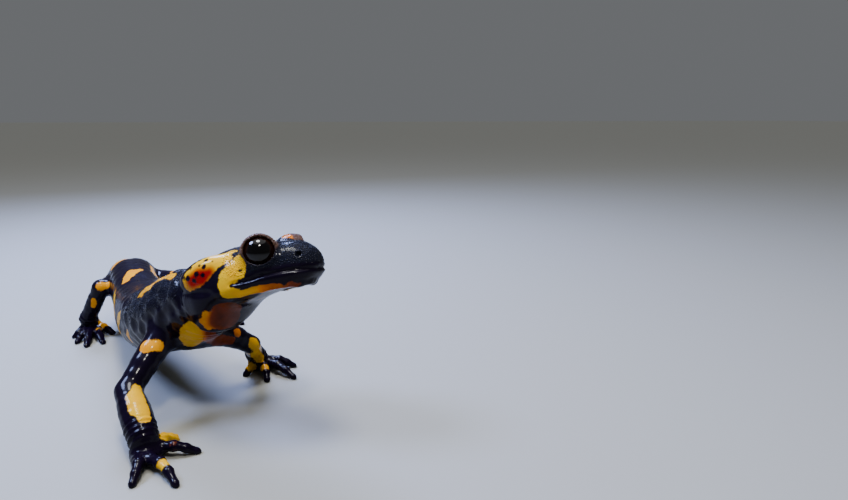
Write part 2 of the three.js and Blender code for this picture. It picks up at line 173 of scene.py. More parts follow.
def turn(axis, angle):
    """The 3 x 3 matrix of a turn about a unit axis."""
    x, y, z = axis
    c, s = math.cos(math.radians(angle)), math.sin(math.radians(angle))
    cross = np.array([[0, -z, y], [z, 0, -x], [-y, x, 0]])
    return c * np.eye(3) + s * cross + (1 - c) * np.outer(axis, axis)


HEAD_TURN = turn((0, 0, 1), HEAD_YAW) @ turn((0, 1, 0), -HEAD_PITCH) @ turn((1, 0, 0), HEAD_ROLL)


def from_head(point):
    return np.asarray(point, float) @ HEAD_TURN.T + SNOUT


def to_head(points):
    return (points - SNOUT) @ HEAD_TURN


# ---------------- the middle line
STEP = 0.5
POINTS_AT_ONCE = 100000
SHOULDERS_AT = HEAD_LENGTH + NECK_LENGTH
TIP_AT = SHOULDERS_AT + TRUNK_LENGTH + TAIL_LENGTH


def floor_trace():
    """The middle line of trunk and tail seen from above, one point a step, from the shoulders back."""
    point, heading = np.zeros(2), SHOULDER_HEADING
    trace = [point.copy()]
    for length, bend in [(TRUNK_LENGTH, -TRUNK_TURN)] + TAIL_BENDS:
        steps = round(length / STEP)
        for _ in range(steps):
            middle = math.radians(heading + bend / steps / 2)
            point -= STEP * np.array([math.cos(middle), math.sin(middle)])
            heading += bend / steps
            trace.append(point.copy())
    return np.array(trace)


TRACE = floor_trace()


def on_trace(at):
    """Points of the middle line behind the shoulders; the tail's end lies on the floor."""
    at = np.atleast_1d(at)
    place = np.clip((at - SHOULDERS_AT) / STEP, 0, len(TRACE) - 1.001)
    i = np.floor(place).astype(int)
    t = (place - i)[:, None]
    flat = TRACE[i] * (1 - t) + TRACE[i + 1] * t
    laid = LINE_HEIGHTS[-1][0]
    height = np.where(at < laid, follow(LINE_HEIGHTS, at)[:, 0], follow(SECTIONS, at)[:, 2] - SOLE_FLAT)
    return np.column_stack([flat, height])


def line_point(at):
    """Points of the middle line: straight in the head, bent in the neck, then over the trace."""
    at = np.atleast_1d(np.asarray(at, float))
    head = from_head(np.column_stack([-at, 0 * at, 0 * at]))
    t = np.clip((at - NECK_FROM) / (NECK_TO - NECK_FROM), 0, 1)[:, None]
    start, end = from_head([[-NECK_FROM, 0, 0]])[0], on_trace(NECK_TO)[0]
    reach = np.linalg.norm(start - end)
    leave = -reach * HEAD_TURN[:, 0]
    join = reach * (on_trace(NECK_TO + 1)[0] - end)
    neck = ((1 + 2 * t) * (1 - t) ** 2 * start + t * (1 - t) ** 2 * leave
            + t * t * (3 - 2 * t) * end + t * t * (t - 1) * join)
    at = at[:, None]
    return np.where(at <= NECK_FROM, head, np.where(at >= NECK_TO, on_trace(at[:, 0]), neck))


LINE_AT = np.arange(-2, TIP_AT + STEP / 2, STEP)
LINE = line_point(LINE_AT)
FORWARD = unit(line_point(LINE_AT - STEP / 2) - line_point(np.minimum(LINE_AT + STEP / 2, TIP_AT)))
PAST_NECK = smooth((LINE_AT - NECK_FROM) / (NECK_TO - NECK_FROM))[:, None]
UPWARD = HEAD_TURN[:, 2] * (1 - PAST_NECK) + np.array([0, 0, 1.0]) * PAST_NECK
UPWARD = unit(UPWARD - FORWARD * (UPWARD * FORWARD).sum(1, keepdims=True))
LEFTWARD = np.cross(UPWARD, FORWARD)
SHAPE = follow(SECTIONS, LINE_AT)
FLARE = 1 / np.sqrt(1 + np.gradient(SHAPE[:, 0], STEP) ** 2)


def body_places(points):
    """Station along the middle line, and how far left of and above it, for each point."""
    out = np.empty((len(points), 3))
    size = (LINE ** 2).sum(1)
    for k in range(0, len(points), POINTS_AT_ONCE):
        part = points[k:k + POINTS_AT_ONCE]
        near = np.argmin(size - 2 * part @ LINE.T, axis=1)
        along = np.clip(-((part - LINE[near]) * FORWARD[near]).sum(1), -STEP, STEP)
        at = np.clip(LINE_AT[near] + along, LINE_AT[0], LINE_AT[-1] - 1e-6)
        i = np.floor((at - LINE_AT[0]) / STEP).astype(int)
        t = ((at - LINE_AT[i]) / STEP)[:, None]
        away = part - (LINE[i] * (1 - t) + LINE[i + 1] * t)
        left = LEFTWARD[i] * (1 - t) + LEFTWARD[i + 1] * t
        up = UPWARD[i] * (1 - t) + UPWARD[i + 1] * t
        out[k:k + POINTS_AT_ONCE] = np.column_stack([at, (away * left).sum(1), (away * up).sum(1)])
    return out


def at_station(values, at):
    return np.interp(at, LINE_AT, values)


# ---------------- distances
def smooth_min(a, b, width):
    h = np.clip(0.5 + 0.5 * (b - a) / width, 0, 1)
    return b + (a - b) * h - width * h * (1 - h)


def smooth_max(a, b, width):
    return -smooth_min(-a, -b, width)


def loft_distance(places):
    """Roughly the distance to the lofted body, negative inside."""
    at, y, z = places.T
    z = z - at_station(SHAPE[:, 3], at)
    wide = at_station(SHAPE[:, 0], at)
    high = np.where(z > 0, at_station(SHAPE[:, 1], at), at_station(SHAPE[:, 2], at))
    share = ((np.abs(y) / wide) ** FULLNESS + (np.abs(z) / high) ** FULLNESS) ** (1 / FULLNESS)
    away = np.hypot(y, z)
    share = np.maximum(share, 0.05)
    return away * (1 - 1 / share) * at_station(FLARE, at)


def ellipsoid_distance(points, size):
    size = np.array(size)
    k0 = np.linalg.norm(points / size, axis=1)
    k1 = np.maximum(np.linalg.norm(points / size ** 2, axis=1), 1e-6)
    return k0 * (k0 - 1) / k1


def cone_distance(points, a, b, ra, rb):
    """Distance to a rod from a to b whose radius runs from ra to rb."""
    ab = b - a
    t = np.clip((points - a) @ ab / (ab @ ab), 0, 1)
    return np.linalg.norm(points - a - t[:, None] * ab, axis=1) - (ra + (rb - ra) * t)


def rod_chain(line, radii):
    return [(line[k], line[k + 1], radii[k], radii[k + 1]) for k in range(len(line) - 1)]


def spline(points, radii, count):
    """Points and radii along a smooth curve through the given ones."""
    points = np.array(points, float)
    gaps = np.sqrt(np.linalg.norm(np.diff(points, axis=0), axis=1))
    knots = np.concatenate([[0], np.cumsum(gaps)])
    rows = np.column_stack([knots, points, radii])
    out = follow(rows, np.linspace(0, knots[-1], count))
    return out[:, :3], out[:, 3]


def chain_distance(points, rods, width):
    total = None
    for rod in rods:
        d = cone_distance(points, *rod)
        total = d if total is None else smooth_min(total, d, width)
    return total


# ---------------- limbs as rods
class Limb:
    """The rods and the palm of one limb, and the box that they lie in."""

    def __init__(self, root, joints, upper, lower, palm, digits):
        start, bend, wrist = [np.array(p, float) for p in joints]
        self.wrist = wrist
        self.axis = unit(bend - wrist)
        middle = bend + (wrist - bend) * 0.45
        self.arm = [
            rod_chain(*spline([root, start, bend], upper, 8)),
            rod_chain(*spline([bend, middle, wrist], lower, 7)),
        ]
        self.palm = np.array([*palm, PALM_HIGH - SOLE_FLAT])
        tips = [np.array([x, y, DIGIT_TIP - SOLE_FLAT]) for x, y in digits]
        ahead = np.mean(tips, axis=0) - self.palm
        self.palm_turn = turn((0, 0, 1), math.degrees(math.atan2(ahead[1], ahead[0])))
        across = self.palm_turn[:, 1]
        heel = self.palm + (wrist - self.palm) * 0.15
        self.stub = rod_chain([wrist, (wrist + heel) / 2, heel], WRIST_STUB)
        self.digits = []
        for tip in tips:
            base = self.palm + (tip - self.palm) * 0.08 + across * ((tip - self.palm) @ across) * 0.25
            base[2] = DIGIT_BASE + 0.1
            knuckle = self.palm + (tip - self.palm) * 0.6
            knuckle[2] = DIGIT_MIDDLE + DIGIT_ARCH
            nail = tip + unit(tip - knuckle) * DIGIT_TIP * 0.6
            radii = (DIGIT_BASE, DIGIT_MIDDLE, DIGIT_TIP, DIGIT_TIP * 0.8)
            line, girth = spline([base, knuckle, tip, nail], radii, len(JOINT_SWELL))
            swell = 1 + (JOINT_SWELL - 1) * min(1.0, np.linalg.norm(tip - base) / LONG_DIGIT)
            self.digits.append(rod_chain(line, girth * swell))
        ends = np.array([end for rods in self.arm + self.digits for rod in rods for end in rod[:2]])
        self.low = ends.min(0) - LIMB_ROOM
        self.high = ends.max(0) + LIMB_ROOM

    def distance(self, points):
        upper, lower = [chain_distance(points, rods, 0.3) for rods in self.arm]
        d = smooth_min(upper, lower, ELBOW_BLEND)
        d = smooth_min(d, chain_distance(points, self.stub, 0.3), WRIST_BLEND)
        palm = ellipsoid_distance((points - self.palm) @ self.palm_turn, (PALM_LONG, PALM_WIDE, PALM_HIGH))
        d = smooth_min(d, palm, PALM_BLEND)
        for rods in self.digits:
            d = smooth_min(d, chain_distance(points, rods, 0.15), DIGIT_BLEND)
        # the skin folds at the wrist
        along = (points - self.wrist) @ self.axis
        creased = between(along, -2.2, 1.2, 3.2, 1.5)
        return d + WRIST_CREASE * creased * np.cos(2 * math.pi * along / WRIST_PITCH)


PLANS = {name: Limb(**plan) for name, plan in LIMBS.items()}

# ---------------- the skin's surface
EYE_LOOK = unit(LEFT_GAZE)
EYE_ACROSS = unit(np.cross([0, 0, 1], EYE_LOOK))
EYE_OVER = np.cross(EYE_LOOK, EYE_ACROSS)
GLAND_TURN = turn((0, 0, 1), -PAROTOID_SPLAY) @ turn((0, 1, 0), -PAROTOID_DROOP)


def bell(x, width=1):
    return np.exp(-(x / width) ** 2)


def round_the_eye(p):
    """Distance from the eye's middle, height over it, reach along its gaze, and 1 at the opening's edge."""
    away = p - EYE_AT
    across, over, out = away @ EYE_ACROSS, away @ EYE_OVER, away @ EYE_LOOK
    opening = np.sqrt((across / LID_WIDE) ** 2 + (over / LID_HIGH) ** 2)
    return np.linalg.norm(away, axis=1), over, out, opening


def with_eye(p, d):
    """Lids round the eyeball, open in front of it."""
    r, over, out, opening = round_the_eye(p)
    d = smooth_min(d, r - EYE_RADIUS - LOWER_LID, 0.5)
    thick = np.where(over > 0, UPPER_LID, LOWER_LID)
    rim = np.hypot((opening - 1.1) * LID_HIGH, r - EYE_RADIUS - 0.28) - thick
    d = smooth_min(d, np.where(out > 0, rim, 9.0), 0.35)
    cut = np.maximum((opening - 1) * LID_HIGH, EYE_RADIUS - 0.15 - r)
    return smooth_max(d, -np.maximum(cut, 0.6 - out), 0.2)


def with_head(points, d):
    """Eyes, glands, nostrils, lips and the folds of the throat, the same on both sides."""
    local = to_head(points)
    near = (local[:, 0] > -31) & (local[:, 0] < 12) & (np.abs(local[:, 1:]) < 15).all(1)
    if not near.any():
        return d
    p = local[near]
    p[:, 1] = np.abs(p[:, 1])
    x, y, z = p.T
    e = smooth_max(d[near], x + 0.2, 0.9)
    e = smooth_min(e, ellipsoid_distance(p - ORBIT_AT, ORBIT_SIZE), 1.5)
    e = smooth_min(e, ellipsoid_distance((p - PAROTOID_AT) @ GLAND_TURN, PAROTOID_SIZE), 0.9)
    for (*start, thick), (*end, thin) in zip(JAW_RIDGE, JAW_RIDGE[1:]):
        e = smooth_min(e, cone_distance(p, np.array(start), np.array(end), thick, thin), 0.7)
    # the hollow between eye and nostril
    e += LORE_HOLLOW * bell(np.linalg.norm((p - (-5.2, 5.6, 0.6)) / (2.2, 1.6, 1.1), axis=1))
    # the gland overhangs a soft fold below it and a hollow behind it
    below = z + 1.3 + 0.2 * (x + 20)
    e += GLAND_FOLD * bell(below, 0.6) * between(x, -28, 2, -16.5, 2) * smooth((y - 4) / 2)
    e += GLAND_HOLLOW * bell(x + 26.2 + 0.12 * z ** 2, 1.0) * smooth((y - 3) / 2) * smooth((z + 4) / 2)
    # the cleft of the mouth over a rounded lower lip
    line = follow(MOUTH_LINE, x)[:, 0]
    lip = smooth((x + 14.5) / 2.5)
    e += MOUTH_CLEFT * lip * bell(z - line, 0.3)
    e -= LIP_SWELL * lip * bell(z - line + 0.55, 0.4)
    # a groove under the edge of the lower jaw, and the fold across the throat
    e += JAW_GROOVE * bell(z + 3.95, 0.45) * between(x, -18, 3, -4, 2) * smooth((y - 2.5) / 2)
    fold = x + 24.2 + 0.065 * y ** 2
    low = smooth((-4 - z) / 2.5)
    e += THROAT_FOLD * low * bell(fold, 0.7)
    e -= THROAT_SWELL * low * bell(fold - 1.5, 1.0)
    # the nostril and its rim
    e = smooth_min(e, np.linalg.norm(p - NOSTRIL, axis=1) - 0.5, 0.8)
    pit = ellipsoid_distance(p - NOSTRIL - (0.05, 0.2, 0.0), (0.34, 0.9, 0.42))
    e = smooth_max(e, -pit, 0.15)
    d = d.copy()
    d[near] = with_eye(p, e)
    return d


def ripple(points, size):
    """Unevenness between about -1 and 1 that doesn't repeat, with bumps of the given size."""
    total = 0
    for k, way in enumerate(unit(np.array(RIPPLE_WAYS))):
        total = total + np.sin(points @ way * (2 * math.pi / size) * (0.8 + 0.08 * k) + 2.4 * k)
    return total / 3


def body_relief(points, places, d):
    """Grooves between the ribs, loose skin on neck and shoulders, rings on the tail, a furrow on the back."""
    at, y, z = places.T
    side = np.abs(y) / at_station(SHAPE[:, 0], at)
    slant = at + 0.12 * z
    rib = (slant - 44) / COSTAL_PITCH
    uneven = ripple(points, 9.0)
    groove = bell((rib - np.round(rib) + 0.12 * uneven) * COSTAL_PITCH, 0.8)
    depth = COSTAL_GROOVE * (1 + 0.6 * uneven) * smooth((side - 0.7) / 0.3)
    d = d + depth * groove * between(at, *RIBS)
    ring = (slant - 103) / TAIL_PITCH
    groove = bell((ring - np.round(ring) + 0.08 * uneven) * TAIL_PITCH, 0.6)
    d = d + TAIL_RING * groove * smooth((side - 0.2) / 0.5) * between(at, *RINGS)
    # loose skin in folds across the neck, in lumps on the shoulders and less on the flanks
    wave = np.cos(2 * math.pi * (at + 0.05 * z ** 2 + 0.5 * uneven) / NECK_PITCH)
    d = d + NECK_FOLD * between(at, *FOLDS) * wave
    loose = smooth((at - 24) / 5) * (0.15 + 0.85 * smooth((58 - at) / 14))
    loose = loose * (0.2 + 0.8 * smooth((z + 7) / 5))
    d = d + LUMP * loose * ripple(points, LUMP_ACROSS) + WRINKLE * loose * ripple(points, WRINKLE_ACROSS)
    return d + BACK_FURROW * bell(y, 0.8) * (z > 0) * between(at, *FURROW)


def skin_distance(points):
    """Roughly how far outside the skin each point lies, negative inside."""
    places = body_places(points)
    d = np.maximum(loft_distance(places), places[:, 0] - TIP_AT)
    d = body_relief(points, places, d)
    d = with_head(points, d)
    for limb in PLANS.values():
        near = ((points > limb.low) & (points < limb.high)).all(1)
        if near.any():
            d[near] = smooth_min(d[near], limb.distance(points[near]), LIMB_BLEND)
    return np.maximum(d + INSET, -points[:, 2])


# ---------------- a mesh of the surface
COARSE = 4  # cells of the fine grid to one of the rough grid
CELLS_AT_ONCE = 400000
CORNERS = range(8)  # of a cell: bit 4 is +x, bit 2 is +y, bit 1 is +z
EDGES = [(a, a | bit) for bit in (4, 2, 1) for a in CORNERS if not a & bit]


def steps_to(corner):
    return corner >> 2 & 1, corner >> 1 & 1, corner & 1


def graded(stops, end):
    """Places along an axis, each stretch (start, spacing) with its own spacing."""
    ends = [start for start, _ in stops[1:]] + [end]
    line = np.concatenate([np.arange(start, stop, gap) for (start, gap), stop in zip(stops, ends)])
    spare = (-(len(line) - 1)) % COARSE
    return np.concatenate([line, line[-1] + stops[-1][1] * np.arange(1, spare + 1)])


def sample(axes):
    """The distance on the whole grid: exact near the surface, rough elsewhere."""
    rough = [axis[::COARSE] for axis in axes]
    mesh = np.stack(np.meshgrid(*rough, indexing="ij"), -1)
    coarse = skin_distance(mesh.reshape(-1, 3)).reshape(mesh.shape[:3])
    nearest = np.full([n - 1 for n in coarse.shape], 1e9)
    inside = np.zeros(nearest.shape, int)
    ends = (slice(0, -1), slice(1, None))
    for corner in CORNERS:
        part = coarse[tuple(ends[step] for step in steps_to(corner))]
        nearest = np.minimum(nearest, np.abs(part))
        inside += part < 0
    gaps = np.stack(np.meshgrid(*[np.diff(line) for line in rough], indexing="ij"), -1)
    keep = (nearest < 0.65 * np.linalg.norm(gaps, axis=-1)) | ((inside > 0) & (inside < 8))
    field = coarse[:-1, :-1, :-1]
    for axis in range(3):
        field = np.repeat(field, COARSE, axis)
        keep = np.repeat(keep, COARSE, axis)
    i, j, k = np.nonzero(keep)
    for start in range(0, len(i), CELLS_AT_ONCE):
        part = slice(start, start + CELLS_AT_ONCE)
        spots = np.column_stack([axes[0][i[part]], axes[1][j[part]], axes[2][k[part]]])
        field[i[part], j[part], k[part]] = skin_distance(spots)
    return field


def sheet_table():
    """For each pattern of inside corners: which sheet of the surface each cell edge is on, and how many."""
    sheets, counts = np.zeros((256, 12), int), np.zeros(256, int)
    for pattern in range(256):
        crossed = [e for e, (a, b) in enumerate(EDGES) if (pattern >> a ^ pattern >> b) & 1]
        group = {e: e for e in crossed}
        for bit in (4, 2, 1):
            for side in (0, bit):
                face = [e for e in crossed if EDGES[e][0] & bit == side == EDGES[e][1] & bit]
                for e in face:
                    for g in face:
                        shared = [c for c in EDGES[e] if c in EDGES[g] and pattern >> c & 1]
                        if len(face) == 2 or shared:
                            old, new = group[e], group[g]
                            group = {k: new if v == old else v for k, v in group.items()}
        names = sorted(set(group.values()))
        for e in crossed:
            sheets[pattern, e] = names.index(group[e])
        counts[pattern] = len(names)
    return sheets, counts


def without_specks(field):
    """Move a lone grid point that differs from its six neighbours over to their side of the surface."""
    inside = field < 0
    around = sum(np.roll(inside, step, axis).astype(int) for axis in range(3) for step in (1, -1))
    lone = (inside & (around == 0)) | (~inside & (around == 6))
    return np.where(lone, -field, field)


def surface_nets(field, axes):
    """One point for each sheet of surface in a grid cell, and one quad for each crossed grid edge."""
    inside = field < 0
    size = [n - 1 for n in field.shape]
    pattern = np.zeros(size, int)
    for c in CORNERS:
        i, j, k = steps_to(c)
        pattern += inside[i:i + size[0], j:j + size[1], k:k + size[2]].astype(int) << c
    cell = np.argwhere((pattern > 0) & (pattern < 255))
    kind = pattern[tuple(cell.T)]
    sheets, counts = sheet_table()
    first = np.concatenate([[0], np.cumsum(counts[kind])])
    number = np.zeros(size, np.int64)
    number[tuple(cell.T)] = first[:-1]
    total, hits = np.zeros((first[-1], 3)), np.zeros(first[-1])
    for e, (a, b) in enumerate(EDGES):
        low, high = cell + steps_to(a), cell + steps_to(b)
        before, after = field[tuple(low.T)], field[tuple(high.T)]
        crossed = (before < 0) != (after < 0)
        t = before[crossed] / (before[crossed] - after[crossed])
        spot = low[crossed] + t[:, None] * (high[crossed] - low[crossed])
        owner = first[:-1][crossed] + sheets[kind[crossed], e]
        np.add.at(total, owner, spot)
        np.add.at(hits, owner, 1)
    spot = total / hits[:, None]
    points = np.column_stack([np.interp(spot[:, n], np.arange(len(axes[n])), axes[n]) for n in range(3)])
    quads = []
    for axis, bit in enumerate((4, 2, 1)):
        u, v = [n for n in range(3) if n != axis]
        here, there = [slice(1, -1)] * 3, [slice(1, -1)] * 3
        here[axis], there[axis] = slice(0, -1), slice(1, None)
        one, two = inside[tuple(here)], inside[tuple(there)]
        edge = np.argwhere(one != two)
        outward = one[tuple(edge.T)] != (axis == 1)
        edge[:, [u, v]] += 1
        ring = []
        for du, dv in ((0, 0), (1, 0), (1, 1), (0, 1)):
            at = edge.copy()
            at[:, u] -= 1 - du
            at[:, v] -= 1 - dv
            corner = (1 - du) * (4 >> u) + (1 - dv) * (4 >> v)
            place = tuple(at.T)
            ring.append(number[place] + sheets[pattern[place], EDGES.index((corner, corner | bit))])
        quad = np.stack(ring, 1)
        quad[~outward] = quad[~outward][:, ::-1]
        quads.append(quad)
    return points, np.concatenate(quads)


def settle(points):
    """Points moved straight onto the surface, in two steps of at most the longest."""
    step, longest = 0.04, 0.2
    for _ in range(2):
        slope = np.empty_like(points)
        for n in range(3):
            aside = step * np.eye(3)[n]
            slope[:, n] = (skin_distance(points + aside) - skin_distance(points - aside)) / (2 * step)
        move = skin_distance(points)[:, None] * slope / np.maximum((slope ** 2).sum(1, keepdims=True), 0.25)
        length = np.linalg.norm(move, axis=1, keepdims=True)
        points = points - move * np.minimum(1, longest / np.maximum(length, 1e-9))
    return points


# Along x, y and z: the spacing is finest at the head and the feet.
AXES = [
    graded([(-106, 0.56), (-53, 0.38), (-36, 0.52), (-15, 0.31), (-3, 0.29)], 34),
    graded([(-38, 0.38), (-24, 0.5), (-9, 0.33), (4, 0.29), (26, 0.5)], 34),
    graded([(-0.6, 0.27), (5, 0.46), (18, 0.3)], 42),
]


# ---------------- from the shoulders' frame to the object's
EYE_LOW, EYE_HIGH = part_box("eye_right")
SHIFT = np.array((EYE_LOW + EYE_HIGH) / 2) / MM - from_head(EYE_AT * (1, -1, 1))
SHIFT[2] = 0


def placed(name, data):
    piece = bpy.data.objects.new(name, data)
    bpy.context.scene.collection.objects.link(piece)
    return piece


def mesh_piece(name, points, faces, material):
    """A piece from points in the shoulders' frame (mm), riding on the body."""
    mesh = bpy.data.meshes.new(name)
    mesh.from_pydata(((points + SHIFT) * MM).tolist(), [], [list(map(int, face)) for face in faces])
    mesh.polygons.foreach_set("use_smooth", [True] * len(mesh.polygons))
    mesh.materials.append(material)
    mesh.update()
    piece = placed(name, mesh)
    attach(piece, "root")
    return piece


def write_attribute(mesh, name, values):
    layer = mesh.attributes.new(name, "FLOAT", "POINT")
    layer.data.foreach_set("value", np.asarray(values, np.float32))


# ---------------- node trees
def linear(code):
    """An sRGB hex colour as linear RGBA."""
    parts = [int(code[k:k + 2], 16) / 255 for k in (1, 3, 5)]
    return [c / 12.92 if c <= 0.04045 else ((c + 0.055) / 1.055) ** 2.4 for c in parts] + [1.0]


def add(tree, kind, sockets=None, **settings):
    """A node with its settings; each socket takes a value or another node's output."""
    node = tree.nodes.new(kind)
    for name, value in settings.items():
        setattr(node, name, value)
    for name, value in (sockets or {}).items():
        if isinstance(value, bpy.types.NodeSocket):
            tree.links.new(value, node.inputs[name])
        elif isinstance(value, str) and value.startswith("#"):
            node.inputs[name].default_value = linear(value)
        else:
            node.inputs[name].default_value = value
    return node


def per_metre(size):
    """The texture scale at which one feature measures size millimetres."""
    return 1 / (size * MM)


def finish(name, values):
    """A new material, its node tree and its shader, with the values that are the same all over."""
    material = bpy.data.materials.new(name)
    material.use_nodes = True
    shader = material.node_tree.nodes["Principled BSDF"]
    for socket, value in values.items():
        shader.inputs[socket].default_value = value
    return material, material.node_tree, shader


# ---------------- markings
# A marking is a hue and chains of balls with their radii in mm. The hue runs from 0, lemon yellow,
# over 0.5, orange, to 1, chestnut; on throat and chest band that dark end is painted shade over their
# orange-brown. These are in head axes, the same on both sides.
HEAD_MARKS = {
    "gland": (0.05, [
        (-14.2, 5.9, 4.5, 1.4), (-15.4, 6.8, 4, 1.7), (-17, 7.6, 3.4, 1.9), (-18.5, 8.3, 2.6, 2.1),
        (-20, 8.6, 1.8, 2.1), (-21.4, 8.5, 1.2, 1.8)]),
    "gland_rear": (0.3, [(-20.8, 9, 0.6, 1), (-22.2, 8.6, 0.5, 1.1)]),
    "cheek": (0.05, [
        (-11.9, 7.6, 2.3, 1.7), (-12.8, 8, 0.9, 2.4), (-13.3, 8.3, -0.2, 2.4), (-13.8, 8.4, -1.3, 2.1),
        (-14.1, 8.3, -2.4, 1.4), (-13.2, 7.6, -2.9, 0.95)]),
    "jaw": (0.2, [(-13.2, 7.6, -2.9, 0.95), (-9.6, 6.6, -2.8, 0.85)]),
    "jaw_front": (0.6, [(-9, 6.4, -2.9, 0.9), (-6, 5.2, -3, 0.85)]),
    "chin": (0.85, [(-6, 5.2, -3, 0.85), (-4.6, 4.1, -3.15, 0.8), (-3.6, 2.6, -3.3, 0.65)]),
    "throat_streak": (0.9, [(-15.7, 1.6, -4.4, 0.45), (-12.6, 1.4, -3.8, 0.35)]),
}
# These are on the right side or the left side only.
ONE_SIDE_MARKS = {
    # the throat's chestnut is its orange-brown darkened as painted shade under the head
    "throat": (0.92, [(-18.4, -5.6, -4.5, 2), (-20.4, -4.6, -6, 2.7), (-20.8, -1.6, -7, 2.3)]),
    "throat_front": (0.9, [(-18, -4.6, -4.7, 1.6), (-18.9, -1.8, -5.4, 1.6)]),
    "throat_rear": (0.2, [(-20.6, -7.4, -4.9, 0.7), (-22, -6.4, -6.3, 0.9), (-22.8, -4.8, -7.5, 0.7)]),
    "left_lid": (0.5, [(-8.6, 3.4, 6.3, 0.8), (-6.8, 3.9, 5.7, 0.7)]),
}
RED_GLAND = [(-17.2, 8.7, 1.8, 0.9), (-19, 9, 1.3, 1.5), (-20.9, 9, 0.9, 1.3)]
BEHIND_EYE = [(-13.2, 6.1, 4.2, 0.65)]
MOUTH_CORNER = [(-13.3, 8.7, -1.3, 0.3), (-12, 8.3, -1.3, 0.5), (-9, 7.5, -1.2, 0.8)]
UNDER_GLAND = [
    (-12.9, 7, 3.4, 0.12), (-14.6, 8, 2.3, 0.22), (-15.9, 8.7, 1.4, 0.4), (-17, 9.1, -0.2, 0.6),
]
CHEEK_FLECK = [(-11.5, 7.8, 1, 0.3)]
PORES = [
    (-18, 8.8, 3, 0.3), (-19.6, 9.2, 2.1, 0.42), (-21.6, 9.2, 1.6, 0.4), (-17.9, 8.1, 4.2, 0.28),
    (-19, 8.8, 3.4, 0.28), (-18.4, 9, 1.6, 0.26), (-20.5, 9.1, 1, 0.32), (-16.6, 7.9, 3.5, 0.2),
    (-20.7, 8.6, 3.2, 0.3), (-22.6, 8.6, 1.9, 0.28), (-19.6, 7.6, 4.3, 0.28), (-21.4, 7.2, 3.8, 0.3),
]
# On trunk and tail: station from the snout tip, degrees from the back with left positive, radius.
BODY_MARKS = {
    "shoulder_stripe": (0.2, [
        [(29, -37, 1), (32.6, -31, 1.3), (36.4, -37, 1.6), (39.6, -43, 1.5), (41.6, -47, 1)]]),
    "back_right": (0.35, [
        [(70.6, -29, 1.1), (73.5, -18, 1.5), (76.5, -5, 1.5), (77, 8, 1.2)],
        [(89.8, -45, 1.2), (91.8, -28, 1.6), (93, -16, 1.2)]]),
    "back_left": (0.3, [
        [(44, 50, 1), (50, 56, 1.3), (57, 52, 1)],
        [(63, 50, 1), (70, 54, 1.2), (78, 49, 1.3), (87, 53, 1)]]),
    "nape_left": (0.35, [[(30, 42, 1.2), (35, 46, 1.5), (39, 42, 1)]]),
    "flank_right": (0.15, [
        [(72, -62, 0.8), (68, -71, 1.2), (64, -80, 1.2), (61, -88, 0.9)],
        [(52.5, -74, 0.7), (54.7, -86, 1), (57, -97, 1.1), (58.5, -109, 0.9)]]),
    "belly_right": (0.3, [[(48.2, -104, 0.7), (49.6, -118, 0.8)]]),
    "flank_left": (0.3, [
        [(46, 84, 1.2), (49, 95, 1.6), (50, 110, 1.2)],
        [(62, 80, 1.3), (65, 98, 1.5)], [(77, 92, 1.5), (80, 106, 1.2)]]),
    "tail_right": (0.35, [
        [(101, -34, 1.3), (106, -38, 1.5)], [(114, -36, 1.3), (118, -40, 1.1)],
        [(127, -38, 1.1), (133, -36, 1.2)], [(143, -36, 0.9), (147, -38, 0.8)], [(157, -34, 0.7)]]),
    "tail_left": (0.35, [
        [(98, 36, 1.4), (103, 33, 1.5)], [(110, 38, 1.3), (115, 36, 1.1)],
        [(123, 36, 1.2), (127, 38, 1)], [(137, 36, 1.1), (141, 34, 0.9)],
        [(151, 36, 0.8), (154, 34, 0.7)]]),
    "tail_sides": (0.4, [
        [(108, -88, 1), (111, -100, 0.9)], [(120, 92, 0.9), (123, 98, 0.8)]]),
}
# On chest and limbs, seen from the floor point under the shoulders.
LIMB_MARKS = {
    "chest": (0.1, [
        (12.6, 2.5, 20.2, 1.4), (10.4, 1.9, 18, 2.2), (8.3, 1.5, 16.2, 2.2), (6.2, 1.2, 14.5, 1.6)]),
    # the chest band's chestnut is its orange-brown darkened as painted shade under the chest
    "chest_band": (0.88, [
        (11, 4.9, 18.1, 1.1), (8, 4.9, 15.8, 1.5), (4.5, 5.2, 13.6, 1.7), (1.4, 6, 12.6, 1.6),
        (-0.3, 7.6, 12.2, 1.1)]),
    "shoulder": (0.36, [(8.3, -4.8, 15.4, 1.4), (8.7, -6.4, 15.6, 1.4)]),
    "forearm": (0.12, [
        (14.4, -7.6, 9.8, 1.1), (16.6, -7.5, 9.2, 1.6), (18.8, -6.6, 8.1, 1.7), (20, -5.6, 7.2, 1.3)]),
    "left_elbow": (0.5, [(-1.3, 9.2, 13.3, 1)]),
    "left_forearm": (0.12, [
        (-3.4, 12, 10, 1.2), (-5.2, 12.3, 7.8, 1.6), (-8, 12.8, 5.4, 1.5), (-10.4, 12.8, 3.6, 1.2)]),
    "thigh": (0.35, [(-42.2, -26.4, 14.5, 1.2), (-42.6, -24.9, 14.9, 0.9)]),
    "shank": (0.35, [(-43, -28.8, 10.6, 0.8), (-43.5, -29.3, 9, 0.7)]),
    "foot": (0.3, [(-48.9, -29.2, 2.8, 1.2), (-46.8, -28, 2.4, 1.2)]),
    "left_thigh": (0.4, [(-49.5, -9.5, 15, 1.6), (-47, -6.5, 15.4, 1.5)]),
    "left_shank": (0.35, [(-46.2, -3, 9.4, 1.2)]),
    "left_foot": (0.3, [(-46, 1.6, 2.9, 1.5)]),
}
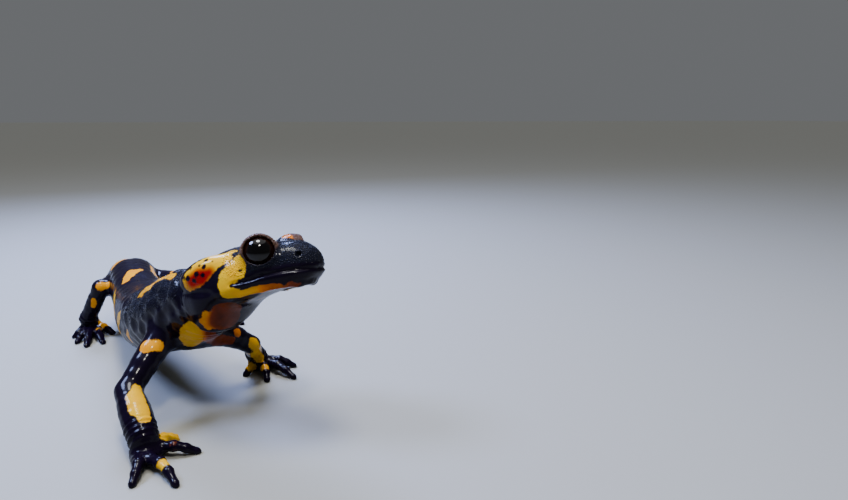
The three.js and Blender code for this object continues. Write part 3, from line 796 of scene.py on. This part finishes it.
# Limb, digit, share of the digit's length, radius, hue.
DIGIT_MARKS = [
    ("arm_right", 0, 0.2, 1.4, 0.1), ("arm_right", 0, 0.4, 1.6, 0.1), ("arm_right", 0, 0.6, 1.6, 0.1),
    ("arm_right", 0, 0.8, 1.4, 0.1), ("arm_right", 1, 0.4, 0.9, 0.7), ("arm_right", 2, 0.5, 1.25, 0.1),
    ("arm_left", 0, 0.3, 1.5, 0.1), ("arm_left", 0, 0.6, 1.4, 0.2), ("arm_left", 1, 0.5, 1.2, 0.3),
    ("arm_left", 2, 0.75, 0.6, 0.8), ("leg_right", 1, 0.45, 1, 0.3), ("leg_left", 1, 0.4, 1.1, 0.3),
    ("leg_left", 3, 0.5, 1, 0.3),
]
MARK_BLEND = 0.6  # how softly hues and balls run together


def both_sides(chain):
    """A chain of balls in head axes as it is given, then its mirror image."""
    balls = np.array(chain, float)
    mirrored = balls * (1, -1, 1, 1)
    for side in (balls, mirrored):
        yield np.column_stack([from_head(side[:, :3]), side[:, 3]])


def on_body(chain):
    """Balls on the trunk or the tail at (station, turn, radius)."""
    balls = []
    for at, angle, radius in chain:
        i = int(round((at - LINE_AT[0]) / STEP))
        wide, over, under, lift = SHAPE[i]
        across, up = math.sin(math.radians(angle)), math.cos(math.radians(angle))
        high = over if up > 0 else under
        reach = (abs(across) ** FULLNESS + abs(up) ** FULLNESS) ** (-1 / FULLNESS)
        place = LINE[i] + LEFTWARD[i] * wide * across * reach + UPWARD[i] * (high * up * reach + lift)
        balls.append([*place, radius])
    return np.array(balls)


def chain_of_balls(points, balls):
    if len(balls) == 1:
        return np.linalg.norm(points - balls[0, :3], axis=1) - balls[0, 3]
    rods = [(a[:3], b[:3], a[3], b[3]) for a, b in zip(balls, balls[1:])]
    return chain_distance(points, rods, MARK_BLEND)


def all_marks():
    """The hue and the balls of every marking."""
    for hue, chain in HEAD_MARKS.values():
        for balls in both_sides(chain):
            yield hue, balls
    for hue, chain in ONE_SIDE_MARKS.values():
        yield hue, list(both_sides(chain))[0]
    for hue, chains in BODY_MARKS.values():
        for chain in chains:
            yield hue, on_body(chain)
    for hue, chain in LIMB_MARKS.values():
        yield hue, np.array(chain)
    for name, digit, share, radius, hue in DIGIT_MARKS:
        rods = PLANS[name].digits[digit]
        rod = rods[min(int(share * len(rods)), len(rods) - 1)]
        yield hue, np.array([[*rod[0], radius]])


def near_head(chain, points):
    """Distance to a chain of balls in head axes, on whichever side is nearer."""
    return np.minimum(*[chain_of_balls(points, balls) for balls in both_sides(chain)])


def marking(points):
    """Millimetres inside the nearest marking, its hue, and how red the gland's edge is."""
    edge = np.full(len(points), -9.0)
    weight, hues = np.zeros(len(points)), np.zeros(len(points))
    for hue, balls in all_marks():
        d = chain_of_balls(points, balls)
        edge = np.maximum(edge, -d)
        w = np.exp(-np.clip(d, -3, 6) / MARK_BLEND)
        weight += w
        hues += w * hue
    for chain in [BEHIND_EYE, MOUTH_CORNER, UNDER_GLAND, CHEEK_FLECK] + [[pore] for pore in PORES]:
        edge = np.minimum(edge, near_head(chain, points))
    red = smooth((0.9 - near_head(RED_GLAND, points)) / 1.6)
    return edge, hues / weight, red


def graininess(points):
    """How granular the skin is, which also places its blue-grey painted sheen: most on snout and lids, less
    on the shoulders, smooth on the limbs and low down.
    """
    places = body_places(points)
    at = places[:, 0]
    snout = 1 - smooth((at - 12) / 6)
    shoulder = 0.8 * between(at, 22, 6, 56, 14) * smooth((places[:, 2] + 3) / 5)
    grain_and_sheen = np.maximum(snout, shoulder)
    for limb in PLANS.values():
        grain_and_sheen *= smooth((limb.distance(points) - 0.5) / 2)
    local = to_head(points)
    lip = smooth((local[:, 2] - follow(MOUTH_LINE, local[:, 0])[:, 0] - 0.7) / 0.8)
    grain_and_sheen = np.where(at < 20, grain_and_sheen * lip, grain_and_sheen)
    return np.clip(grain_and_sheen, 0.1, 1) * smooth((points[:, 2] - 6) / 5)


def on_lids(points):
    """1 on the eyelids' rims: wide on the upper lid, its own pale brown, and a thin line on the lower one, a
    painted highlight along its wet edge.
    """
    p = to_head(points)
    p[:, 1] = np.abs(p[:, 1])
    r, over, out, opening = round_the_eye(p)
    rim = np.hypot((opening - 1.1) * LID_HIGH, r - EYE_RADIUS - 0.28)
    upper = smooth((over + 0.6) / 1.2)
    return smooth((0.42 + 0.4 * upper - rim) / 0.35) * (out > 0) * (0.35 + 0.65 * upper)


# ---------------- materials
def amphibian_skin():
    """Wet salamander skin: black with a cold sheen, partly painted as a blue-grey tint on granular skin, and
    yellow to red markings with soft, grainy edges.
    Mucus over fine granules gives many small highlights above and a smooth gloss on the flank."""
    material, tree, shader = finish("wet_amphibian_skin", {
        "IOR": 1.38, "Specular IOR Level": 0.01, "Coat Weight": 0.34, "Coat Roughness": 0.13,
        "Coat IOR": 1.34})
    place = add(tree, "ShaderNodeTexCoord").outputs["Object"]
    edge, hue, grain_and_sheen, red, lids = [
        add(tree, "ShaderNodeAttribute", attribute_name=name).outputs["Fac"]
        for name in ("marking", "hue", "grain_and_sheen", "red", "lid")]
    # blots 2.2 mm apart and flecks of 0.5 mm make the edges of the markings wander
    blots = add(tree, "ShaderNodeTexNoise",
                {"Vector": place, "Scale": per_metre(2.2), "Detail": 3.0}).outputs["Fac"]
    flecks = add(tree, "ShaderNodeTexNoise",
                 {"Vector": place, "Scale": per_metre(0.5), "Detail": 2.0}).outputs["Fac"]
    grainy = add(tree, "ShaderNodeMath", {0: flecks, 1: 0.36, 2: edge}, operation="MULTIPLY_ADD").outputs[0]
    border = add(tree, "ShaderNodeMath", {0: blots, 1: 1.3, 2: grainy}, operation="MULTIPLY_ADD").outputs[0]
    mask = add(tree, "ShaderNodeMapRange", {"Value": border, "From Min": 0.78, "From Max": 1.05},
               interpolation_type="SMOOTHSTEP").outputs["Result"]
    uneven = add(tree, "ShaderNodeMath", {0: blots, 1: 0.3, 2: hue}, operation="MULTIPLY_ADD").outputs[0]
    tone = add(tree, "ShaderNodeMath", {0: uneven, 1: 0.15}, operation="SUBTRACT").outputs[0]
    ramp = add(tree, "ShaderNodeValToRGB", {"Fac": tone})
    # the chestnut end of the ramp is partly painted shade, on throat and chest band
    stops = ((0.0, "#C29A00"), (0.3, "#C48400"), (0.55, "#B05C00"), (0.8, "#662400"), (1.0, "#361200"))
    while len(ramp.color_ramp.elements) < len(stops):
        ramp.color_ramp.elements.new(0.5)
    for element, (at, code) in zip(ramp.color_ramp.elements, stops):
        element.position = at
        element.color = linear(code)
    colour = ramp.outputs["Color"]
    pigment = add(tree, "ShaderNodeMix", {0: red, 6: colour, 7: "#860200"}, data_type="RGBA").outputs[2]
    black = add(tree, "ShaderNodeMix", {0: blots, 6: "#05020A", 7: "#0E0618"}, data_type="RGBA").outputs[2]
    # painted sheen: a blue-grey tint in the black where the skin is granular, standing for light reflected
    # off wet granules, mostly on the upper side
    painted_sheen = add(tree, "ShaderNodeMath", {0: grain_and_sheen, 1: 0.6}, operation="MULTIPLY").outputs[0]
    dark = add(tree, "ShaderNodeMix", {0: painted_sheen, 6: black, 7: "#141822"}, data_type="RGBA").outputs[2]
    spotted = add(tree, "ShaderNodeMix", {0: mask, 6: dark, 7: pigment}, data_type="RGBA").outputs[2]
    # the upper lid's rim in its own pale brown; the lower lid's thin line in the same brown is a painted
    # highlight
    colour = add(tree, "ShaderNodeMix", {0: lids, 6: spotted, 7: "#4E3A32"}, data_type="RGBA").outputs[2]
    tree.links.new(colour, shader.inputs["Base Color"])
    rough = add(tree, "ShaderNodeMapRange", {"Value": blots, "From Min": 0.3, "From Max": 0.7,
                                             "To Min": 0.26, "To Max": 0.42}).outputs["Result"]
    tree.links.new(rough, shader.inputs["Roughness"])
    # granules 0.4 mm across, and creases of the loose skin 1.6 mm apart
    cells = add(tree, "ShaderNodeTexVoronoi", {"Vector": place, "Scale": per_metre(0.42)}).outputs["Distance"]
    domes = add(tree, "ShaderNodeMath", {0: 1.0, 1: cells}, operation="SUBTRACT").outputs[0]
    granules = add(tree, "ShaderNodeMath", {0: domes, 1: grain_and_sheen}, operation="MULTIPLY").outputs[0]
    loose = add(tree, "ShaderNodeTexNoise",
                {"Vector": place, "Scale": per_metre(1.6), "Detail": 0.5}).outputs["Fac"]
    relief = add(tree, "ShaderNodeMath", {0: loose, 1: 0.25, 2: granules},
                 operation="MULTIPLY_ADD").outputs[0]
    bump = add(tree, "ShaderNodeBump",
               {"Height": relief, "Strength": 0.8, "Distance": 0.12 * MM}).outputs["Normal"]
    tree.links.new(bump, shader.inputs["Normal"])
    return material


def dark_eye():
    """A wet, nearly black eye: a clear cornea over a black pupil and a chestnut ring at its edge."""
    material, tree, shader = finish("wet_dark_eye", {"Roughness": 0.06, "IOR": 1.38})
    gaze = add(tree, "ShaderNodeAttribute", attribute_name="gaze").outputs["Fac"]
    place = add(tree, "ShaderNodeTexCoord").outputs["Object"]
    flecks = add(tree, "ShaderNodeTexNoise",
                 {"Vector": place, "Scale": per_metre(0.5), "Detail": 3.0}).outputs["Fac"]
    # the ring begins between 42 and 64 degrees from the gaze, unevenly by up to 14 degrees
    uneven = add(tree, "ShaderNodeMath", {0: flecks, 1: 14.0, 2: gaze}, operation="MULTIPLY_ADD").outputs[0]
    ring = add(tree, "ShaderNodeMapRange", {"Value": uneven, "From Min": 42.0, "From Max": 64.0},
               interpolation_type="SMOOTHSTEP").outputs["Result"]
    colour = add(tree, "ShaderNodeMix", {0: ring, 6: "#020102", 7: "#1C0904"}, data_type="RGBA").outputs[2]
    tree.links.new(colour, shader.inputs["Base Color"])
    return material


# ---------------- the skin
FLESH = [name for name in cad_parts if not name.startswith("eye")]
skin_finish = amphibian_skin()
points, quads = surface_nets(without_specks(sample(AXES)), AXES)
points = settle(points)
skin = mesh_piece("skin", points, quads, skin_finish)
for name, values in zip(("marking", "hue", "red"), marking(points)):
    write_attribute(skin.data, name, values)
write_attribute(skin.data, "lid", on_lids(points))
write_attribute(skin.data, "grain_and_sheen", graininess(points))
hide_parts(*FLESH)
print("skin triangles", 2 * len(quads))


# ---------------- granules on the skin
GRANULES_MOST = 3.0e7  # for each square metre


def granule_tree(material):
    """Low domes spread over a skin wherever its "grain" is high, no two nearer than the spacing."""
    tree = bpy.data.node_groups.new("skin_granules", "GeometryNodeTree")
    for name, kind in (("Skin", "Geometry"), ("Spacing", "Float"), ("Width", "Float"),
                       ("Height", "Float"), ("Seed", "Int")):
        tree.interface.new_socket(name, in_out="INPUT", socket_type="NodeSocket" + kind)
    tree.interface.new_socket("Granules", in_out="OUTPUT", socket_type="NodeSocketGeometry")
    given = add(tree, "NodeGroupInput").outputs
    grain_and_sheen = add(tree, "GeometryNodeInputNamedAttribute", {"Name": "grain_and_sheen"},
                data_type="FLOAT").outputs["Attribute"]
    wanted = add(tree, "ShaderNodeMapRange",
                 {"Value": grain_and_sheen, "From Min": 0.3, "From Max": 0.8}).outputs["Result"]
    spread = add(tree, "GeometryNodeDistributePointsOnFaces",
                 {"Mesh": given["Skin"], "Distance Min": given["Spacing"], "Density Max": GRANULES_MOST,
                  "Density Factor": wanted, "Seed": given["Seed"]}, distribute_method="POISSON")
    ball = add(tree, "GeometryNodeMeshIcoSphere", {"Radius": 1.0, "Subdivisions": 1}).outputs["Mesh"]
    round_ball = add(tree, "GeometryNodeSetShadeSmooth", {"Geometry": ball}).outputs["Geometry"]
    half_width = add(tree, "ShaderNodeMath", {0: given["Width"], 1: 0.5}, operation="MULTIPLY").outputs[0]
    flat = add(tree, "ShaderNodeCombineXYZ",
               {"X": half_width, "Y": half_width, "Z": given["Height"]}).outputs[0]
    uneven = add(tree, "FunctionNodeRandomValue", {"Min": 0.65, "Max": 1.2, "Seed": given["Seed"]},
                 data_type="FLOAT").outputs["Value"]
    size = add(tree, "ShaderNodeVectorMath", {0: flat, "Scale": uneven}, operation="SCALE").outputs[0]
    domes = add(tree, "GeometryNodeInstanceOnPoints",
                {"Points": spread.outputs["Points"], "Instance": round_ball,
                 "Rotation": spread.outputs["Rotation"], "Scale": size}).outputs["Instances"]
    real = add(tree, "GeometryNodeRealizeInstances", {"Geometry": domes}).outputs["Geometry"]
    done = add(tree, "GeometryNodeSetMaterial", {"Geometry": real, "Material": material}).outputs["Geometry"]
    add(tree, "NodeGroupOutput", {"Granules": done})
    return tree


def grown(name, base, tree, values):
    """A new mesh object: what the node tree makes of the base piece's mesh."""
    piece = placed(name, base.data.copy())
    modifier = piece.modifiers.new(name, "NODES")
    modifier.node_group = tree
    for item in tree.interface.items_tree:
        if item.name in values:
            modifier[item.identifier] = values[item.name]
    result = piece.evaluated_get(bpy.context.evaluated_depsgraph_get())
    mesh = bpy.data.meshes.new_from_object(result)
    piece.modifiers.clear()
    piece.data = mesh
    return piece


granules = grown("skin_granules", skin, granule_tree(skin_finish),
                 {"Spacing": 0.3 * MM, "Width": 0.36 * MM, "Height": 0.085 * MM, "Seed": 7})
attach(granules, "root")
print("granule triangles", len(granules.data.polygons))


# ---------------- the eyes
def eyeball(side):
    """A ball with the cornea's slight bulge, its poles along the gaze."""
    around, rings = 56, 28
    look = EYE_LOOK * (1, side, 1)
    across = unit(np.cross([0, 0, 1], look))
    over = np.cross(look, across)
    middle = EYE_AT * (1, side, 1)
    angles = np.linspace(0, math.pi, rings + 1)[1:-1]
    balls = [middle + look * (EYE_RADIUS + 0.08)]
    gaze = [0.0]
    for angle in angles:
        radius = EYE_RADIUS - 0.02 + 0.1 * bell(angle, 0.8)
        for k in range(around):
            spin = 2 * math.pi * k / around
            sideways = across * math.cos(spin) + over * math.sin(spin)
            balls.append(middle + radius * (look * math.cos(angle) + sideways * math.sin(angle)))
            gaze.append(math.degrees(angle))
    balls.append(middle - look * EYE_RADIUS)
    gaze.append(180.0)
    last = len(balls) - 1
    faces = []
    for k in range(around):
        step = (k + 1) % around
        faces.append([0, 1 + k, 1 + step])
        faces.append([last, last - around + step, last - around + k])
        for ring in range(rings - 2):
            start = 1 + ring * around
            faces.append([start + k, start + around + k, start + around + step, start + step])
    return from_head(np.array(balls)), faces, gaze


eye_finish = dark_eye()
for side, node in ((1, "eye_left"), (-1, "eye_right")):
    balls, faces, gaze = eyeball(side)
    piece = mesh_piece(node.replace("eye", "eyeball"), balls, faces, eye_finish)
    write_attribute(piece.data, "gaze", gaze)
    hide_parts(node)

# ---------------- floor, light and camera
LINE_OF_SIGHT = (165.7, -12.6)  # heading and rise in degrees
LENS_STAND = np.array([123.8, 17.7, 57.7]) + SHIFT
SENSOR_WIDE = 36  # mm
FOCAL_LENGTH, PICTURE_WIDE = 600, 848  # pixels
FLOOR_HALF = 6  # metres
# Place and target from the snout tip, size across, watts and colour.
SOFTBOXES = {
    "softbox_above": ((-30, -30, 320), (-20, -15, -20), 100, 1.2, "#FFFFFF"),
    "softbox_back": ((-250, -60, 190), (-10, -15, -15), 130, 2.4, "#A8BCFF"),
    "softbox_right": ((-60, -200, 230), (-10, -20, -15), 100, 1.8, "#ACC0FF"),
    "softbox_front": ((125, 11, 216), (-10, -10, -5), 36, 0.5, "#FFFAF2"),
}


def softbox(name, place, target, size, watts, colour):
    light = bpy.data.lights.new(name, "AREA")
    light.shape = "DISK"
    light.size = size * MM
    light.energy = watts
    light.color = linear(colour)[:3]
    holder = placed(name, light)
    holder.location = Vector(place) * MM
    holder.rotation_euler = (Vector(target) - Vector(place)).to_track_quat("-Z", "Y").to_euler()


def pale_floor():
    """A matt painted board, which shows as an even pale grey."""
    material, _, _ = finish("matt_pale_board", {"Base Color": linear("#868680"), "Roughness": 0.9})
    mesh = bpy.data.meshes.new("floor")
    corners = [(x * FLOOR_HALF, y * FLOOR_HALF, 0) for x, y in ((-1, -1), (1, -1), (1, 1), (-1, 1))]
    mesh.from_pydata(corners, [], [(0, 1, 2, 3)])
    mesh.materials.append(material)
    placed("floor", mesh)


pale_floor()
for name, (place, target, *lamp) in SOFTBOXES.items():
    softbox(name, SNOUT + SHIFT + place, SNOUT + SHIFT + target, *lamp)
daylight = bpy.data.lights.new("even_daylight", "SUN")
daylight.energy = 1.25
daylight.angle = math.radians(70)
placed("even_daylight", daylight).rotation_euler = (0.0, math.radians(-12), 0.0)

world = bpy.data.worlds.new("pale_room")
world.use_nodes = True
world.node_tree.nodes["Background"].inputs["Color"].default_value = linear("#DDE1E6")
world.node_tree.nodes["Background"].inputs["Strength"].default_value = 0.2
bpy.context.scene.world = world

lens = bpy.data.cameras.new("camera")
lens.sensor_width = SENSOR_WIDE
lens.lens = SENSOR_WIDE * FOCAL_LENGTH / PICTURE_WIDE
lens.clip_start = 0.005
camera = placed("camera", lens)
camera.location = Vector(LENS_STAND) * MM
heading, rise = [math.radians(a) for a in LINE_OF_SIGHT]
ahead = Vector((math.cos(heading) * math.cos(rise), math.sin(heading) * math.cos(rise), math.sin(rise)))
camera.rotation_euler = ahead.to_track_quat("-Z", "Y").to_euler()
bpy.context.scene.camera = camera
